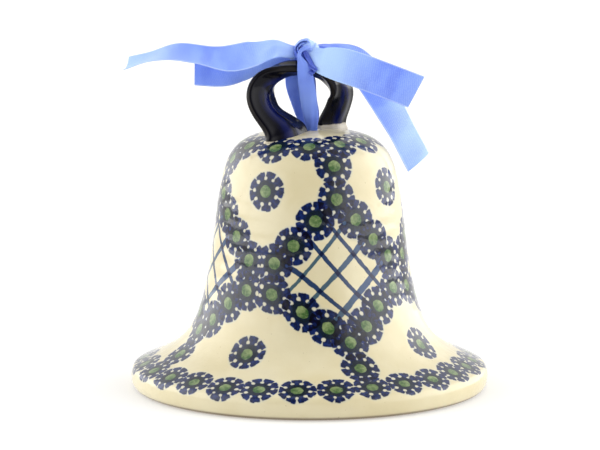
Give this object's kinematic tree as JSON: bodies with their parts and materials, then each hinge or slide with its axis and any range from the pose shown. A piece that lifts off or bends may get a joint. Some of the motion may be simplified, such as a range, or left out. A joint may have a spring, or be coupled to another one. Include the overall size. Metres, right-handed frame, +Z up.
{
  "type": "hand bell",
  "caption": "Flared stoneware hand bell with a twisted strap handle, a satin ribbon bow over the handle and a ceramic clapper hung on ribbon inside.",
  "frame": {"origin": "centre of the rim's foot ring, on the surface that the bell stands on", "axes": "+Z up along the body's axis through the crown hole; -Y is the side seen from the front, +X is to its right"},
  "size_m": [0.1263, 0.125, 0.1234],
  "materials": {
    "stamped_glaze": "glossy clear glaze over cream clay with stamped blue and green flowers",
    "cobalt_glaze": "glossy dark cobalt glaze",
    "satin_ribbon": "woven satin with a soft sheen",
    "bead_glaze": "glossy cobalt glaze"
  },
  "bodies": {
    "bell": {"bell_body": "stamped_glaze", "handle": "cobalt_glaze", "bow_knot": "satin_ribbon", "tail_left_long": "satin_ribbon", "tail_left_short": "satin_ribbon", "tail_right_front": "satin_ribbon", "tail_right_drop": "satin_ribbon", "strand_front": "satin_ribbon", "strand_back": "satin_ribbon"},
    "hanger": {"stopper_knot": "satin_ribbon"},
    "clapper": {"clapper_ribbon": "satin_ribbon", "clapper_bead": "bead_glaze"}
  },
  "joints": [
    {"name": "clapper_turn", "type": "hinge", "parent": "bell", "child": "hanger", "pos_m": [0, 0, 0.0813], "axis": [0, 0, 1], "continuous": true},
    {"name": "clapper_swing", "type": "hinge", "parent": "hanger", "child": "clapper", "pos_m": [0, 0, 0.0813], "axis": [0, 1, 0], "range_deg": [-23.5, 23.5]}
  ]
}
